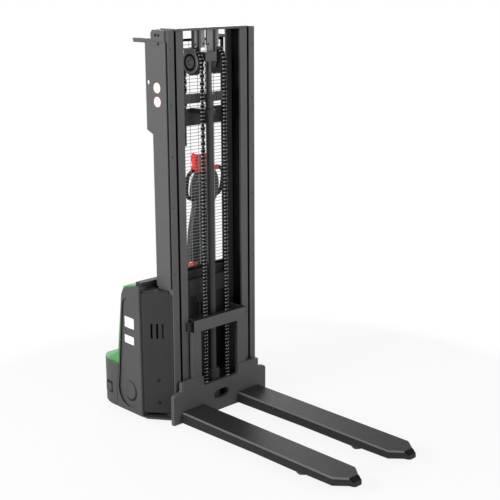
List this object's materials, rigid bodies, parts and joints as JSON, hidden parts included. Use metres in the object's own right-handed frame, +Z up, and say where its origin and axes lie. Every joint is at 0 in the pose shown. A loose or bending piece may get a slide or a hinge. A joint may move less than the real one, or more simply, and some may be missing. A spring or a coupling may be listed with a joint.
{
  "type": "electric pallet stacker",
  "caption": "Walk-behind electric stacker: two-stage mast with forks over support legs, offset tiller, body with battery, drive wheel and caster.",
  "frame": {"origin": "on the floor, under the middle of the whole machine's outline", "axes": "+X towards the fork tips, +Y to the operator's left, +Z up"},
  "size_m": [1.76, 0.8, 2.062],
  "materials": {
    "frame_steel": "satin powder coat, near black",
    "mast_steel": "satin powder coat, dark grey",
    "fork_steel": "satin powder coat, black",
    "panel_steel": "fine textured powder coat, charcoal",
    "cover_plastic": "moulded, fine grain, dark grey",
    "hood_plastic": "moulded, satin green",
    "screen_wire": "satin black",
    "barrel_paint": "satin black",
    "rod_chrome": "hard chromed, ground",
    "chain_steel": "oiled",
    "wheel_iron": "machined, oiled",
    "drive_tyre": "polyurethane tread",
    "roller_tread": "polyurethane tread",
    "tiller_plastic": "moulded, fine grain, black",
    "red_plastic": "moulded, glossy red",
    "battery_case": "moulded, black"
  },
  "bodies": {
    "chassis": {"base_frame": "frame_steel", "support_leg_left": "frame_steel", "support_leg_right": "frame_steel", "mast_rail_left": "mast_steel", "mast_rail_right": "mast_steel", "mast_tie_anchor": "frame_steel", "mast_tie_low": "frame_steel", "mast_side_plate_left": "mast_steel", "mast_side_plate_right": "mast_steel", "guard_bracket_left": "frame_steel", "guard_bracket_right": "frame_steel", "guard_screen": "screen_wire", "lift_barrel": "barrel_paint", "axle_plate": "frame_steel", "caster_post": "frame_steel", "battery_block": "battery_case", "side_cover_left": "cover_plastic", "side_cover_right": "cover_plastic", "centre_hood": "hood_plastic", "front_wall": "panel_steel", "lower_cover": "cover_plastic", "side_panel_left": "panel_steel", "side_panel_right": "panel_steel", "stop_button": "red_plastic", "chain_rear": "chain_steel"},
    "inner_mast": {"inner_rail_left": "mast_steel", "inner_rail_right": "mast_steel", "inner_tie_low": "frame_steel", "inner_tie_top": "frame_steel", "head_beam": "frame_steel", "rod_crosshead": "frame_steel", "lift_rod": "rod_chrome", "chain_wheels": "wheel_iron", "chain_wrap": "chain_steel", "chain_front": "chain_steel"},
    "carriage": {"carriage_plate": "frame_steel", "carriage_upright_left": "frame_steel", "carriage_upright_right": "frame_steel", "carriage_crossbar": "frame_steel", "carriage_cheek_left": "frame_steel", "carriage_cheek_right": "frame_steel", "fork_left": "fork_steel", "fork_right": "fork_steel"},
    "drive_unit": {"drive_case": "wheel_iron", "tiller_bracket": "frame_steel"},
    "drive_wheel": {"drive_wheel": "drive_tyre"},
    "tiller": {"tiller_arm": "tiller_plastic", "tiller_head": "tiller_plastic", "tiller_handles": "tiller_plastic", "belly_switch": "red_plastic"},
    "caster": {"caster_fork": "frame_steel"},
    "caster_wheel": {"caster_wheel": "drive_tyre"},
    "load_roller_left": {"load_roller_left": "roller_tread"},
    "load_roller_right": {"load_roller_right": "roller_tread"}
  },
  "joints": [
    {"name": "mast_lift", "type": "slide", "parent": "chassis", "child": "inner_mast", "axis": [0, 0, 1], "range_m": [0, 1.44], "deforming": ["chain_rear"]},
    {"name": "carriage_lift", "type": "slide", "parent": "inner_mast", "child": "carriage", "axis": [0, 0, 1], "range_m": [0, 1.44], "deforming": ["chain_front"]},
    {"name": "steering", "type": "hinge", "parent": "chassis", "child": "drive_unit", "pos_m": [-0.755, 0.25, 0.246], "axis": [0, 0, 1], "range_deg": [-90, 90]},
    {"name": "drive_wheel_spin", "type": "hinge", "parent": "drive_unit", "child": "drive_wheel", "pos_m": [-0.755, 0.25, 0.105], "axis": [0, 1, 0], "continuous": true},
    {"name": "tiller_tilt", "type": "hinge", "parent": "drive_unit", "child": "tiller", "pos_m": [-0.79, 0.25, 0.392], "axis": [0, -1, 0], "range_deg": [0, 84]},
    {"name": "caster_swivel", "type": "hinge", "parent": "chassis", "child": "caster", "pos_m": [-0.75, -0.272, 0.166], "axis": [0, 0, 1], "continuous": true},
    {"name": "caster_wheel_spin", "type": "hinge", "parent": "caster", "child": "caster_wheel", "pos_m": [-0.786, -0.272, 0.0625], "axis": [0, 1, 0], "continuous": true},
    {"name": "load_roller_left_spin", "type": "hinge", "parent": "chassis", "child": "load_roller_left", "pos_m": [0.542, 0.2025, 0.037], "axis": [0, 1, 0], "continuous": true},
    {"name": "load_roller_right_spin", "type": "hinge", "parent": "chassis", "child": "load_roller_right", "pos_m": [0.542, -0.2025, 0.037], "axis": [0, 1, 0], "continuous": true}
  ],
  "couplings": [
    {"joint": "carriage_lift", "follows": "mast_lift", "ratio": 1}
  ]
}
